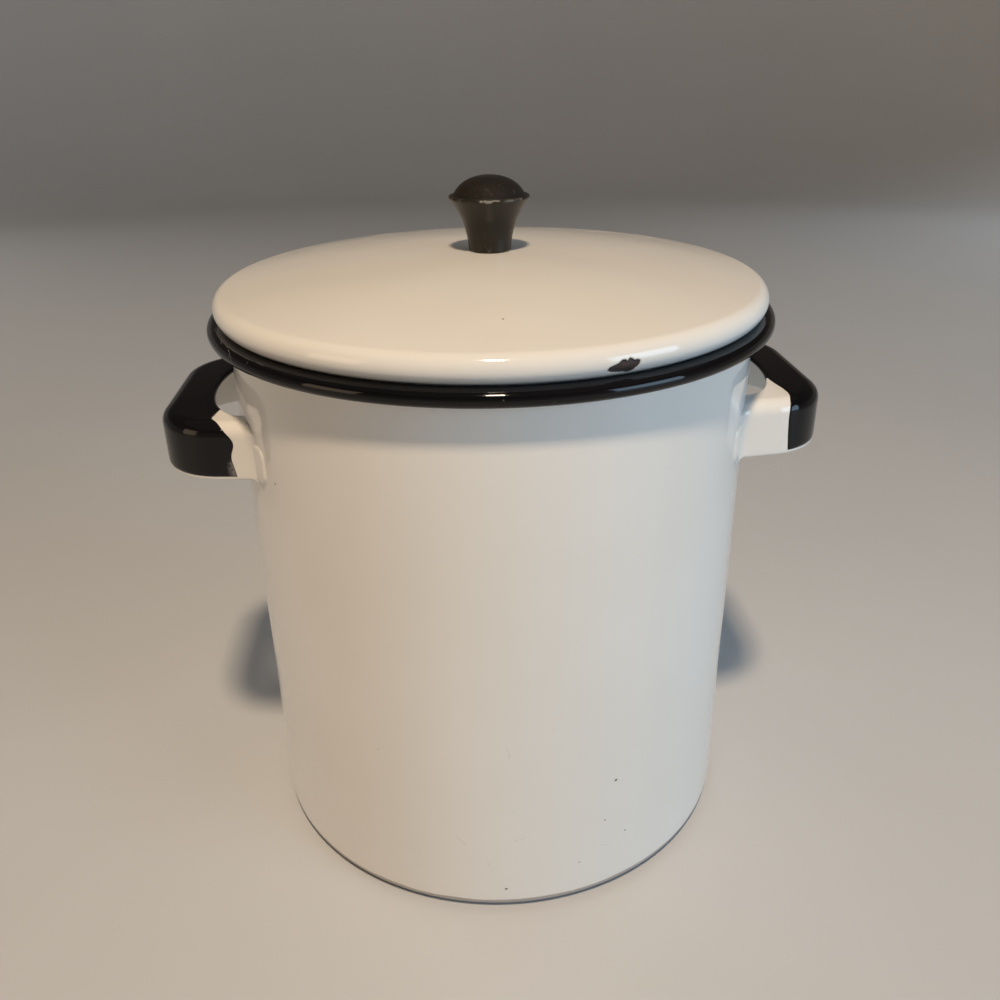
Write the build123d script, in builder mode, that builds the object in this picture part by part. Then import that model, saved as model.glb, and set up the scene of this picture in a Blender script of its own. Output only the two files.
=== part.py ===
from build123d import *
import os
from math import asin, degrees, sqrt

# A white enamelled stock pot with a black rolled rim, two pressed strap handles and a loose domed lid.
# The origin is the centre of the floor's underside, +Z is up and the handles lie along X.

# Sheets and enamel
sheet = 1.2  # enamelled steel of the pot and the lid
strap_sheet = 1.6  # enamelled steel of the handles
ring_sheet = 1.0  # strip of the ring under the lid
enamel = 0.3  # black enamel, fired over the white
overrun = 5.0  # how far a cut runs past the solid that it cuts

# Pot
mouth_diameter = 240.0  # inside the wall
pot_height = 264.5  # table to the top of the rim
floor_corner = 6.0  # outer radius where the floor turns into the wall
rim_reach = 9.2  # from the wall to the outer edge of the black rim
rim_roll_height = 6.8  # height of the rolled rim, with its enamel
rim_tail_gap = 0.8  # between the wall and the end of the rolled edge

# Handles
handle_reach = 31.8  # from the wall to the outer face of the grip
handle_drop = 37.0  # from the top of the rim down to the top of the handle
handle_depth = 26.0  # height of the skirt
grip_width = 100.0  # over the two legs, at the grip
leg_width = 110.0  # over the two legs, at the wall
handle_corner = 30.0  # corner radius in plan
handle_edge = 6.0  # radius between the top flange and the skirt
slot_reach = 11.1  # gap between the wall and the top flange
slot_width = 84.0  # length of that gap along the wall
foot_length = 12.0  # welded tab beside each leg
foot_height = 19.0
foot_corner = 6.0
right_black_start = 12.0  # from the wall to where the right grip's black begins
left_black_start = 4.0  # the left grip was dipped deeper

# Lid
lid_inset = 3.7  # how far the lid ends inside the rim's outer edge
lid_roll = 6.2  # outer radius of the rolled edge
lid_roll_past = 5.0  # degrees that the edge is rolled on past its lowest point
lid_dome = 11.2  # rise of the dome above the rolled edge
lid_gap = 0.35  # between the resting lid and the rim
lid_seat_diameter = 23.0  # flat spot under the knob
ring_gap = 2.0  # between the ring and the wall
ring_bend = 2.5  # radius between the ring's flange and its wall
ring_flange = 7.0  # flange that lies under the dome
ring_depth = 12.0  # how far the ring reaches into the mouth

# Knob and its screw
knob_height = 33.0
knob_base_diameter = 19.0
knob_waist_diameter = 20.4
knob_waist_height = 8.0
knob_lip_diameter = 36.9
knob_lip_height = 22.0  # from the lid to the underside of the lip
knob_lip_band = 2.4
knob_cap_diameter = 34.4  # domed cap above the lip
knob_bore_depth = 18.0
screw_diameter = 4.0
screw_grip = 15.0  # length in the knob
screw_hole_gap = 0.4  # around the screw in the lid and the washer
screw_head_diameter = 8.6
screw_head_height = 2.6
screw_head_round = 1.6
screw_slot_width = 1.0
screw_slot_depth = 1.1
washer_diameter = 15.0
washer_thickness = 1.0

# Places worked out from the sizes above
mouth_radius = mouth_diameter / 2
wall_radius = mouth_radius + sheet
rim_radius = wall_radius + rim_reach
rim_roll = rim_roll_height / 2
rim_face_roll = rim_roll - enamel
rim_centre_height = pot_height - rim_roll
rim_flat = rim_radius - mouth_radius - enamel - 2 * rim_face_roll
rim_turn_radius = mouth_radius + rim_face_roll
rim_tail = rim_radius - rim_roll - wall_radius - rim_tail_gap

handle_top = pot_height - handle_drop
handle_bottom = handle_top - handle_depth
grip_radius = wall_radius + handle_reach
leg_foot = sqrt(wall_radius**2 - (leg_width / 2) ** 2)
slot_chord = sqrt(wall_radius**2 - (slot_width / 2) ** 2)

lid_roll_radius = rim_radius - lid_inset - lid_roll
roll_contact = lid_roll + rim_roll + lid_gap
lid_roll_height = rim_centre_height + sqrt(roll_contact**2 - (lid_roll_radius - rim_turn_radius) ** 2)
dome_top = lid_roll_height + lid_roll + lid_dome
dome_drop = dome_top - lid_roll_height
dome_radius = (lid_roll_radius**2 + dome_drop**2 - lid_roll**2) / (2 * (dome_drop - lid_roll))
dome_centre = dome_top - dome_radius
dome_slope = degrees(asin(lid_roll_radius / (dome_radius - lid_roll)))
seat_radius = lid_seat_diameter / 2
screw_radius = screw_diameter / 2
screw_hole = screw_radius + screw_hole_gap


def dome_height(radius, depth=0.0):
    # Height of the dome, or of the surface that lies the given depth under it
    return dome_centre + sqrt((dome_radius - depth) ** 2 - radius**2)


seat_height = dome_height(seat_radius, sheet / 2) + sheet / 2
seat_underside = seat_height - sheet
washer_underside = seat_underside - washer_thickness
screw_length = washer_thickness + sheet + screw_grip

os.makedirs("parts", exist_ok=True)


# Pot shell: the path is the middle of the sheet, from the floor's centre over the rim to the end of the roll
with BuildPart() as pot_shell:
    with BuildSketch(Plane.XZ):
        with BuildLine():
            floor = Line((0, sheet / 2), (wall_radius - floor_corner, sheet / 2))
            corner = JernArc(floor @ 1, floor % 1, floor_corner - sheet / 2, 90)
            wall = Line(corner @ 1, (mouth_radius + sheet / 2, rim_centre_height))
            turn = JernArc(wall @ 1, wall % 1, rim_face_roll - sheet / 2, -90)
            flat = PolarLine(turn @ 1, rim_flat, direction=turn % 1)
            roll = JernArc(flat @ 1, flat % 1, rim_face_roll - sheet / 2, -180)
            PolarLine(roll @ 1, rim_tail, direction=roll % 1)
        trace(line_width=sheet)
    revolve(axis=Axis.Z)
pot_shell.part.label = "pot_shell"
export_step(pot_shell.part, "parts/pot_shell.step")


# Rim enamel: a coat over the roll, from the mouth to the underside
with BuildPart() as rim_enamel:
    coat_start = (mouth_radius - enamel / 2, rim_centre_height)
    with BuildSketch(Plane.XZ):
        with BuildLine():
            coat_turn = JernArc(coat_start, (0, 1), rim_face_roll + enamel / 2, -90)
            coat_flat = PolarLine(coat_turn @ 1, rim_flat, direction=coat_turn % 1)
            coat_roll = JernArc(coat_flat @ 1, coat_flat % 1, rim_face_roll + enamel / 2, -180)
            PolarLine(coat_roll @ 1, rim_tail, direction=coat_roll % 1)
        trace(line_width=enamel)
    revolve(axis=Axis.Z)
rim_enamel.part.label = "rim_enamel"
export_step(rim_enamel.part, "parts/rim_enamel.step")


def hood(growth, skirt_overrun):
    # Solid under the strap's outer faces, grown or shrunk evenly, with its skirt lengthened downwards
    inset = leg_foot - overrun
    spread = leg_width / 2 + (leg_width - grip_width) / 2 * overrun / (grip_radius - leg_foot)
    with BuildPart() as block:
        with BuildSketch(Plane.XY.offset(handle_bottom - skirt_overrun)) as outline:
            with BuildLine():
                Polyline(
                    (inset, -spread),
                    (grip_radius, -grip_width / 2),
                    (grip_radius, grip_width / 2),
                    (inset, spread),
                    close=True,
                )
            make_face()
            fillet(outline.vertices().group_by(Axis.X)[-1], handle_corner)
            if growth:
                offset(amount=growth, kind=Kind.INTERSECTION)
        extrude(amount=handle_depth + skirt_overrun + growth)
        rounded = block.faces().sort_by(Axis.Z)[-1].edges().sort_by(Axis.X)[1:]
        fillet(rounded, handle_edge + growth)
    return block.part


# Welded feet: tabs that lie on the wall beside the legs
with BuildPart() as feet:
    with BuildSketch(Plane.XY.offset(handle_bottom)):
        Circle(wall_radius + strap_sheet)
        Circle(wall_radius, mode=Mode.SUBTRACT)
    extrude(amount=foot_height)
    with BuildSketch(Plane.YZ):
        with Locations((leg_width / 2, handle_bottom + foot_height / 2)):
            RectangleRounded(2 * foot_length, foot_height, foot_corner)
    extrude(amount=wall_radius + handle_reach, mode=Mode.INTERSECT)
    split(bisect_by=Plane.XZ.offset(strap_sheet - leg_width / 2), keep=Keep.BOTTOM)
    mirror(about=Plane.XZ)


# Slot between the wall and the arched inner edge of the top flange
with BuildPart() as flange_slot:
    with BuildSketch(Plane.XY.offset(handle_top - strap_sheet - overrun)):
        with Locations((slot_chord, 0)):
            Ellipse(wall_radius + slot_reach - slot_chord, slot_width / 2)
    extrude(amount=strap_sheet + 2 * overrun)


# Right handle: a hood of sheet with its back cut to the wall and the slot along its top flange
with BuildPart() as right_handle:
    add(hood(0, 0))
    add(hood(-strap_sheet, overrun), mode=Mode.SUBTRACT)
    Cylinder(
        wall_radius,
        pot_height,
        align=(Align.CENTER, Align.CENTER, Align.MIN),
        mode=Mode.SUBTRACT,
    )
    add(flange_slot.part, mode=Mode.SUBTRACT)
    add(feet.part)
right_handle.part.label = "right_handle"
export_step(right_handle.part, "parts/right_handle.step")


# Left handle: the same strap on the other side
with BuildPart() as left_handle:
    mirror(right_handle.part, about=Plane.YZ)
left_handle.part.label = "left_handle"
export_step(left_handle.part, "parts/left_handle.step")


def grip_enamel(black_start):
    # Coat on the outer faces of the strap, from where the black begins to the grip
    with BuildPart() as coat:
        add(hood(enamel, 0))
        add(hood(0, overrun), mode=Mode.SUBTRACT)
        add(flange_slot.part, mode=Mode.SUBTRACT)
        split(bisect_by=Plane.YZ.offset(wall_radius + black_start), keep=Keep.TOP)
    return coat.part


with BuildPart() as right_grip_enamel:
    add(grip_enamel(right_black_start))
right_grip_enamel.part.label = "right_grip_enamel"
export_step(right_grip_enamel.part, "parts/right_grip_enamel.step")


with BuildPart() as left_grip_enamel:
    mirror(grip_enamel(left_black_start), about=Plane.YZ)
left_grip_enamel.part.label = "left_grip_enamel"
export_step(left_grip_enamel.part, "parts/left_grip_enamel.step")


# Lid shell: flat seat, dome and an edge rolled down and under, with the screw's hole in the middle
with BuildPart() as lid_shell:
    sheet_middle = sheet / 2
    shoulder_radius = (dome_radius - sheet_middle) * lid_roll_radius / (dome_radius - lid_roll)
    middle_radius = (seat_radius + shoulder_radius) / 2
    with BuildSketch(Plane.XZ):
        with BuildLine():
            seat_start = (screw_hole, dome_height(seat_radius, sheet_middle))
            seat = Line(seat_start, (seat_radius, dome_height(seat_radius, sheet_middle)))
            dome = ThreePointArc(
                seat @ 1,
                (middle_radius, dome_height(middle_radius, sheet_middle)),
                (shoulder_radius, dome_height(shoulder_radius, sheet_middle)),
            )
            rolled_turn = 180 - dome_slope + lid_roll_past
            JernArc(dome @ 1, dome % 1, lid_roll - sheet_middle, -rolled_turn)
        trace(line_width=sheet)
    revolve(axis=Axis.Z)
lid_shell.part.label = "lid_shell"
export_step(lid_shell.part, "parts/lid_shell.step")


# Lid ring: a flange under the dome and a wall that reaches into the mouth
with BuildPart() as lid_ring:
    flange_depth = sheet + ring_sheet / 2
    bend_start = mouth_radius - ring_gap - ring_bend
    flange_start = mouth_radius - ring_gap - ring_flange
    flange_middle = (bend_start + flange_start) / 2
    bend_slope = degrees(asin(bend_start / (dome_radius - flange_depth)))
    with BuildSketch(Plane.XZ):
        with BuildLine():
            flange = ThreePointArc(
                (flange_start, dome_height(flange_start, flange_depth)),
                (flange_middle, dome_height(flange_middle, flange_depth)),
                (bend_start, dome_height(bend_start, flange_depth)),
            )
            bend = JernArc(flange @ 1, flange % 1, ring_bend - ring_sheet / 2, bend_slope - 90)
            Line(bend @ 1, ((bend @ 1).X, pot_height - ring_depth))
        trace(line_width=ring_sheet)
    revolve(axis=Axis.Z)
lid_ring.part.label = "lid_ring"
export_step(lid_ring.part, "parts/lid_ring.step")


# Knob: a stem that flares to a banded lip, a domed cap and a blind bore for the screw
with BuildPart() as knob:
    lip_underside = seat_height + knob_lip_height
    lip_top = lip_underside + knob_lip_band
    with BuildSketch(Plane.XZ):
        with BuildLine():
            base = Line((0, seat_height), (knob_base_diameter / 2, seat_height))
            flare = Spline(
                base @ 1,
                (knob_waist_diameter / 2, seat_height + knob_waist_height),
                (knob_lip_diameter / 2, lip_underside),
                tangents=((0, 1), (1, 1)),
            )
            band = Line(flare @ 1, (knob_lip_diameter / 2, lip_top))
            step = Line(band @ 1, (knob_cap_diameter / 2, lip_top))
            crown = TangentArc((0, seat_height + knob_height), step @ 1, tangent=(1, 0))
            Line(crown @ 0, base @ 0)
        make_face()
    revolve(axis=Axis.Z)
    with BuildSketch(Plane.XY.offset(seat_height)):
        Circle(screw_radius)
    extrude(amount=knob_bore_depth, mode=Mode.SUBTRACT)
knob.part.label = "knob"
export_step(knob.part, "parts/knob.step")


# Washer under the lid
with BuildPart() as knob_washer:
    with BuildSketch(Plane.XY.offset(washer_underside)):
        Circle(washer_diameter / 2)
        Circle(screw_hole, mode=Mode.SUBTRACT)
    extrude(amount=washer_thickness)
knob_washer.part.label = "knob_washer"
export_step(knob_washer.part, "parts/knob_washer.step")


# Screw: slotted round head under the washer, shank up through the lid into the knob
with BuildPart() as knob_screw:
    with BuildSketch(Plane.XY.offset(washer_underside)):
        Circle(screw_radius)
    extrude(amount=screw_length)
    with BuildSketch(Plane.XY.offset(washer_underside)):
        Circle(screw_head_diameter / 2)
    extrude(amount=-screw_head_height)
    fillet(knob_screw.edges().group_by(Axis.Z)[0], screw_head_round)
    with BuildSketch(Plane.XY.offset(washer_underside - screw_head_height)):
        Rectangle(screw_head_diameter, screw_slot_width)
    extrude(amount=screw_slot_depth, mode=Mode.SUBTRACT)
knob_screw.part.label = "knob_screw"
export_step(knob_screw.part, "parts/knob_screw.step")
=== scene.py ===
from math import acos, asin, atan2, cos, degrees, dist, hypot, pi, radians, sin, sqrt, tan

import bmesh
import bpy
from mathutils import Matrix, Vector, geometry, noise


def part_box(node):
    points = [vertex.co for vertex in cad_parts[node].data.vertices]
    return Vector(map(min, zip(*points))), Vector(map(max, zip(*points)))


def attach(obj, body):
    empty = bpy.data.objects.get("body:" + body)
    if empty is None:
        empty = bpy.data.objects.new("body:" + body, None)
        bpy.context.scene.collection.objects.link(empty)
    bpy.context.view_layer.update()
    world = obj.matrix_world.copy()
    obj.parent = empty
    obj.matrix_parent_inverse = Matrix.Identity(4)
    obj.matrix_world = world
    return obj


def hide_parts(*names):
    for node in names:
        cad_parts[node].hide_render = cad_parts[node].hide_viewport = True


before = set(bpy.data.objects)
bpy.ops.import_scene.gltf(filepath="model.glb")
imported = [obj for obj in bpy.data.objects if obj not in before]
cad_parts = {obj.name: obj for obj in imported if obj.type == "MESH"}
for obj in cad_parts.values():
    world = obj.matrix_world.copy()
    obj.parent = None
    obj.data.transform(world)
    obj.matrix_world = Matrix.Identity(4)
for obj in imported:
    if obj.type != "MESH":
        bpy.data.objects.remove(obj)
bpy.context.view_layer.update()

mm = 0.001
scene = bpy.context.scene
print("frame loaded:", len(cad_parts), "nodes")


# mesh helpers


def meshPiece(name, verts, faces):
    mesh = bpy.data.meshes.new(name)
    mesh.from_pydata(verts, [], faces)
    work = bmesh.new()
    work.from_mesh(mesh)
    bmesh.ops.recalc_face_normals(work, faces=work.faces)
    work.to_mesh(mesh)
    work.free()
    mesh.shade_smooth()
    piece = bpy.data.objects.new(name, mesh)
    scene.collection.objects.link(piece)
    return piece


def evenAngles(count):
    return [2 * pi * i / count for i in range(count)]


def arcRun(centre, radius, startDeg, endDeg, steps):
    points = []
    for i in range(steps + 1):
        a = radians(startDeg + (endDeg - startDeg) * i / steps)
        points.append((centre[0] + radius * cos(a), centre[1] + radius * sin(a)))
    return points


def lineRun(start, end, steps):
    (x0, y0), (x1, y1) = start, end
    return [(x0 + (x1 - x0) * i / steps, y0 + (y1 - y0) * i / steps) for i in range(steps + 1)]


def bendRun(start, startHandle, endHandle, end, steps):
    knots = [Vector((p[0], p[1], 0)) for p in (start, startHandle, endHandle, end)]
    return [(p.x, p.y) for p in geometry.interpolate_bezier(*knots, steps + 1)]


def joinRuns(*runs):  # one profile, without the points that repeat
    points = []
    for p in (p for run in runs for p in run):
        if not points or dist(p, points[-1]) > 1e-7:
            points.append(p)
    if dist(points[0], points[-1]) < 1e-7:
        points.pop()
    return points


def lathe(name, profile, angles, wave=None):  # turns (radius, height) points about Z
    verts, rings = [], []
    for r, z in profile:
        start = len(verts)
        if r < 1e-7:
            verts.append((0, 0, z))
            rings.append([start])
            continue
        for a in angles:
            dr, dz = wave(a, r, z) if wave else (0, 0)
            verts.append(((r + dr) * cos(a), (r + dr) * sin(a), z + dz))
        rings.append(list(range(start, len(verts))))
    isLoop = len(rings[0]) > 1  # a profile that starts on the axis ends on it too
    faces = []
    for low, high in zip(rings, rings[1:] + (rings[:1] if isLoop else [])):
        for i in range(len(angles)):
            j = (i + 1) % len(angles)
            if len(low) == 1:
                faces.append((low[0], high[i], high[j]))
            elif len(high) == 1:
                faces.append((low[i], low[j], high[0]))
            else:
                faces.append((low[i], low[j], high[j], high[i]))
    return meshPiece(name, verts, faces)


def polar(angleDeg, r, z):
    a = radians(angleDeg)
    return r * cos(a), r * sin(a), z


def smooth(low, high, value):
    t = min(max((value - low) / (high - low), 0), 1)
    return t * t * (3 - 2 * t)


def narrow(low, high, isBelow, rounds=60):  # where isBelow stops holding
    for _ in range(rounds):
        middle = (low + high) / 2
        low, high = (middle, high) if isBelow(middle) else (low, middle)
    return low


def curveThrough(points, at):  # smooth curve through (place, value) points
    k = max(i for i in range(len(points) - 1) if i == 0 or points[i][0] <= at)
    (x0, y0), (x1, y1) = points[k], points[k + 1]
    before, after = points[max(k - 1, 0)], points[min(k + 2, len(points) - 1)]
    h = x1 - x0
    rise0 = h * (y1 - before[1]) / (x1 - before[0])
    rise1 = h * (after[1] - y0) / (after[0] - x0)
    t = min(max((at - x0) / h, 0), 1)
    return ((2 * t**3 - 3 * t**2 + 1) * y0 + (t**3 - 2 * t**2 + t) * rise0
            + (3 * t**2 - 2 * t**3) * y1 + (t**3 - t**2) * rise1)


# shader helpers


def feed(tree, socket, value):
    if isinstance(value, bpy.types.NodeSocket):
        tree.links.new(value, socket)
    else:
        socket.default_value = value


def feedAll(tree, node, values):
    for key, value in values.items():
        feed(tree, node.inputs[key], value)


def put(tree, kind, settings=None, **inputs):
    node = tree.nodes.new(kind)
    for key, value in (settings or {}).items():
        setattr(node, key, value)
    feedAll(tree, node, inputs)
    return node


def calc(tree, operation, *values):
    node = put(tree, "ShaderNodeMath", {"operation": operation})
    feedAll(tree, node, dict(enumerate(values)))
    return node.outputs[0]


def times(tree, *values):
    return calc(tree, "MULTIPLY", *values)


def timesPlus(tree, *values):  # the first two multiplied, plus the third
    return calc(tree, "MULTIPLY_ADD", *values)


def minus(tree, *values):
    return calc(tree, "SUBTRACT", *values)


def most(tree, *values):
    return calc(tree, "MAXIMUM", *values)


def vectorCalc(tree, operation, *values, output=0):
    node = put(tree, "ShaderNodeVectorMath", {"operation": operation})
    feedAll(tree, node, dict(enumerate(values)))
    return node.outputs[output]


def scaled(tree, vector, factor):
    return put(tree, "ShaderNodeVectorMath", {"operation": "SCALE"}, Vector=vector, Scale=factor).outputs[0]


def between(tree, value, low, high):  # eased 0 to 1 from low to high
    node = put(tree, "ShaderNodeMapRange", {"interpolation_type": "SMOOTHSTEP"})
    feedAll(tree, node, {"Value": value, "From Min": low, "From Max": high})
    return node.outputs[0]


def cloud(tree, vector, scale, detail=3.0, rough=0.55, output=0):
    node = put(tree, "ShaderNodeTexNoise", None, Vector=vector, Scale=scale, Detail=detail, Roughness=rough)
    return node.outputs[output]


def heightOf(tree, place):
    return put(tree, "ShaderNodeSeparateXYZ", None, Vector=place).outputs[2]


def fromAxis(tree, place):
    return vectorCalc(tree, "LENGTH", vectorCalc(tree, "MULTIPLY", place, (1.0, 1.0, 0.0)), output=1)


def tint(tree, factor, first, second):
    node = put(tree, "ShaderNodeMix", {"data_type": "RGBA"})
    feedAll(tree, node, {0: factor, 6: first, 7: second})  # 6 and 7 are its colours
    return node.outputs[2]


def rgb(red, green, blue):
    return (red, green, blue, 1.0)


def newGroup(name, inputs, outputs=("Mask",)):
    tree = bpy.data.node_groups.new(name, "ShaderNodeTree")
    for label, default in {"Position": (0, 0, 0), **inputs}.items():
        kind = "NodeSocketVector" if isinstance(default, tuple) else "NodeSocketFloat"
        socket = tree.interface.new_socket(name=label, in_out="INPUT", socket_type=kind)
        socket.default_value = default
    for label in outputs:
        tree.interface.new_socket(name=label, in_out="OUTPUT", socket_type="NodeSocketFloat")
    given, out = tree.nodes.new("NodeGroupInput").outputs, tree.nodes.new("NodeGroupOutput").inputs
    return tree, given["Position"], given, out


def useGroup(tree, group, place, **inputs):
    return put(tree, "ShaderNodeGroup", {"node_tree": group}, Position=place, **inputs).outputs


# effects that several finishes share


def makeEnamelSkin():  # the slow waves, fine peel and handling smears of fired enamel
    tree, place, given, out = newGroup(
        "enamelSkin", {"Peel": 260.0, "Smear": 22.0}, ["Height", "Smears", "Depth"])
    waves = cloud(tree, place, 34.0, 1.0)
    peel = cloud(tree, place, given["Peel"], 2.0)
    feed(tree, out["Height"], timesPlus(tree, peel, 0.10, waves))
    smear = cloud(tree, place, given["Smear"], 5.0, 0.68)
    feed(tree, out["Smears"], between(tree, smear, 0.46, 0.72))
    depth = cloud(tree, place, 11.0, 2.0)
    feed(tree, out["Depth"], between(tree, depth, 0.3, 0.7))
    return tree


def makePinholes():  # few small dark dots, as where the enamel did not take
    tree, place, given, out = newGroup("pinholes", {"Spacing": 90.0, "Size": 0.05, "Share": 0.1})
    cells = put(tree, "ShaderNodeTexVoronoi", {"feature": "F1"}, Vector=place, Scale=given["Spacing"])
    channel = put(tree, "ShaderNodeSeparateColor", None, Color=cells.outputs["Color"])
    chosen = calc(tree, "LESS_THAN", channel.outputs[0], given["Share"])
    radius = times(tree, given["Size"], calc(tree, "ADD", channel.outputs[1], 0.35))
    inner = times(tree, radius, 0.55)
    dot = between(tree, cells.outputs["Distance"], radius, inner)
    feed(tree, out["Mask"], times(tree, dot, chosen))
    return tree


def makeRubs():  # fine rubbed lines that run mostly one way
    tree, place, given, out = newGroup("rubs", {"Stretch": (900.0, 900.0, 60.0), "Amount": 0.3})
    drawn = vectorCalc(tree, "MULTIPLY", place, given["Stretch"])
    lines = cloud(tree, drawn, 1.0, 3.0, 0.6)
    patches = cloud(tree, place, 60.0, 2.0)
    edge = minus(tree, 0.74, times(tree, given["Amount"], 0.2))
    line = between(tree, lines, edge, calc(tree, "ADD", edge, 0.08))
    feed(tree, out["Mask"], times(tree, line, between(tree, patches, 0.45, 0.65)))
    return tree


def makeStroke():  # one crack, scratch or scuff between two points
    tree, place, given, out = newGroup("stroke", {"From": (0, 0, 0), "To": (0, 0, 0), "Width": 0.5 * mm})
    run = vectorCalc(tree, "SUBTRACT", given["To"], given["From"])
    gone = vectorCalc(tree, "SUBTRACT", place, given["From"])
    along = calc(tree, "DIVIDE", vectorCalc(tree, "DOT_PRODUCT", gone, run, output=1),
                 vectorCalc(tree, "DOT_PRODUCT", run, run, output=1))
    held = calc(tree, "MINIMUM", most(tree, along, 0.0), 1.0)
    off = vectorCalc(tree, "LENGTH", vectorCalc(tree, "SUBTRACT", gone, scaled(tree, run, held)), output=1)
    half = times(tree, given["Width"], 0.5)
    feed(tree, out["Mask"], between(tree, off, half, times(tree, half, 0.3)))
    return tree


def makeDab():  # one spot
    tree, place, given, out = newGroup("dab", {"Centre": (0, 0, 0), "Radius": 1.0 * mm})
    off = vectorCalc(tree, "DISTANCE", place, given["Centre"], output=1)
    feed(tree, out["Mask"], between(tree, calc(tree, "DIVIDE", off, given["Radius"]), 1.0, 0.55))
    return tree


enamelSkin, pinholes, rubs = makeEnamelSkin(), makePinholes(), makeRubs()
stroke, dab = makeStroke(), makeDab()


def shaken(tree, place, scale, reach):  # moves each place a little, so that drawn marks get uneven edges
    sway = vectorCalc(tree, "SUBTRACT", cloud(tree, place, scale, 2.0, output=1), (0.5, 0.5, 0.5))
    return vectorCalc(tree, "ADD", place, scaled(tree, sway, reach))


def drawnMarks(tree, place, strokes=(), dabs=(), reach=1.4 * mm):  # the strongest mark at each point
    mask = 0.0
    for group, marks, scale, sway in ((stroke, strokes, 420.0, reach), (dab, dabs, 1300.0, 0.9 * mm)):
        moved = shaken(tree, place, scale, sway) if marks else None
        for mark in marks:
            mask = most(tree, useGroup(tree, group, moved, **mark)["Mask"], mask)
    return mask


def newFinish(name):
    finish = bpy.data.materials.new(name)
    finish.use_nodes = True
    tree = finish.node_tree
    tree.nodes.clear()
    shader = tree.nodes.new("ShaderNodeBsdfPrincipled")
    output = tree.nodes.new("ShaderNodeOutputMaterial")
    tree.links.new(shader.outputs[0], output.inputs[0])
    place = tree.nodes.new("ShaderNodeTexCoord").outputs["Object"]
    return finish, tree, shader, place


def addBump(tree, shader, height, depth, strength=1.0):
    bump = put(tree, "ShaderNodeBump", None, Strength=strength, Distance=depth, Height=height)
    feed(tree, shader.inputs["Normal"], bump.outputs[0])


print("effects ready")


# places on the pot that several pieces share

pot = dict(
    sheet=1.2 * mm,
    corner=6.0 * mm,
    enamel=0.3 * mm,
    tailGap=0.8 * mm,  # between the wall and the end of the rolled edge
    dent=0.2 * mm,  # how far the wall strays from round
    around=300,
)
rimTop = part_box("rim_enamel")[1]
wallIn = 120.0 * mm
wallOut = wallIn + pot["sheet"]
rollOut = (rimTop.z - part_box("rim_enamel")[0].z) / 2  # radius of the rim's roll over its enamel
rollBare = rollOut - pot["enamel"]
rollR, rollZ = rollCentre = (rimTop.y - rollOut, rimTop.z - rollOut)
turnCentre = (wallIn + rollBare, rollZ)  # where the wall turns out into the rim


def onWall(angleDeg, height):  # height in mm
    return polar(angleDeg, wallOut, height * mm)


def onRim(angleDeg, rollDeg):
    b = radians(rollDeg)
    return polar(angleDeg, rollR + rollOut * cos(b), rollZ + rollOut * sin(b))


def dabsOn(spot, rows):  # each row holds the place that spot takes, then the radius in mm
    return [dict(Centre=spot(*row[:-1]), Radius=row[-1] * mm) for row in rows]


def strokesOn(spot, rows):  # each row holds both ends, then the width in mm
    half = len(rows[0]) // 2
    return [dict(From=spot(*row[:half]), To=spot(*row[half:-1]), Width=row[-1] * mm) for row in rows]


def startEnamel(name, look, **feel):
    finish, tree, shader, place = newFinish(name)
    skin = useGroup(tree, enamelSkin, place, **feel)
    colour = tint(tree, skin["Depth"], look["coat"], look["thick"])
    rough = timesPlus(tree, skin["Smears"], look["smeared"] - look["gloss"], look["gloss"])
    return finish, tree, shader, place, colour, rough, skin["Height"]


# white enamel, with marks of its own on each piece

white = dict(
    coat=rgb(0.78, 0.77, 0.75),
    thick=rgb(0.76, 0.748, 0.72),  # where the enamel lies deeper
    fleck=rgb(0.035, 0.028, 0.022),
    scuff=rgb(0.42, 0.41, 0.40),
    # painted shade for the gap where the base corner curves under to the floor
    baseShade=rgb(0.345, 0.315, 0.29),
    gloss=0.07,
    smeared=0.17,
)


def whiteEnamel(name, flecks=(), scuffs=(), worn=None, baseShade=None, chipped=None):
    finish, tree, shader, place, colour, rough, height = startEnamel(name, white)
    dots = drawnMarks(tree, place, dabs=flecks)
    grey = drawnMarks(tree, place, strokes=scuffs)
    if worn:  # rubbed grey where the piece stands or slides
        rubbed = useGroup(tree, rubs, place, Stretch=(520.0, 520.0, 520.0), Amount=0.9)["Mask"]
        grey = most(tree, grey, times(tree, rubbed, worn(tree, place)))
    colour = tint(tree, times(tree, grey, 0.55), colour, white["scuff"])
    rough = timesPlus(tree, grey, 0.25, rough)
    colour = tint(tree, times(tree, dots, 0.9), colour, white["fleck"])
    if baseShade:  # painted shade round the base corner, where the pot meets the floor
        colour = tint(tree, baseShade(tree, place), colour, white["baseShade"])
    if chipped:
        colour, rough, height = chipped(tree, place, colour, rough, height)
    feedAll(tree, shader, {"Base Color": colour, "Roughness": rough, "IOR": 1.52})
    addBump(tree, shader, height, 0.05 * mm, 0.6)
    return finish


# black enamel: deep gloss, fine rubbing and brown where the coat thins

black = dict(
    coat=rgb(0.004, 0.004, 0.0045),
    thick=rgb(0.0065, 0.006, 0.0075),
    crack=rgb(0.085, 0.084, 0.082),
    thin=rgb(0.055, 0.042, 0.034),
    fringe=rgb(0.17, 0.17, 0.178),
    gloss=0.045,
    smeared=0.11,
)


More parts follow.
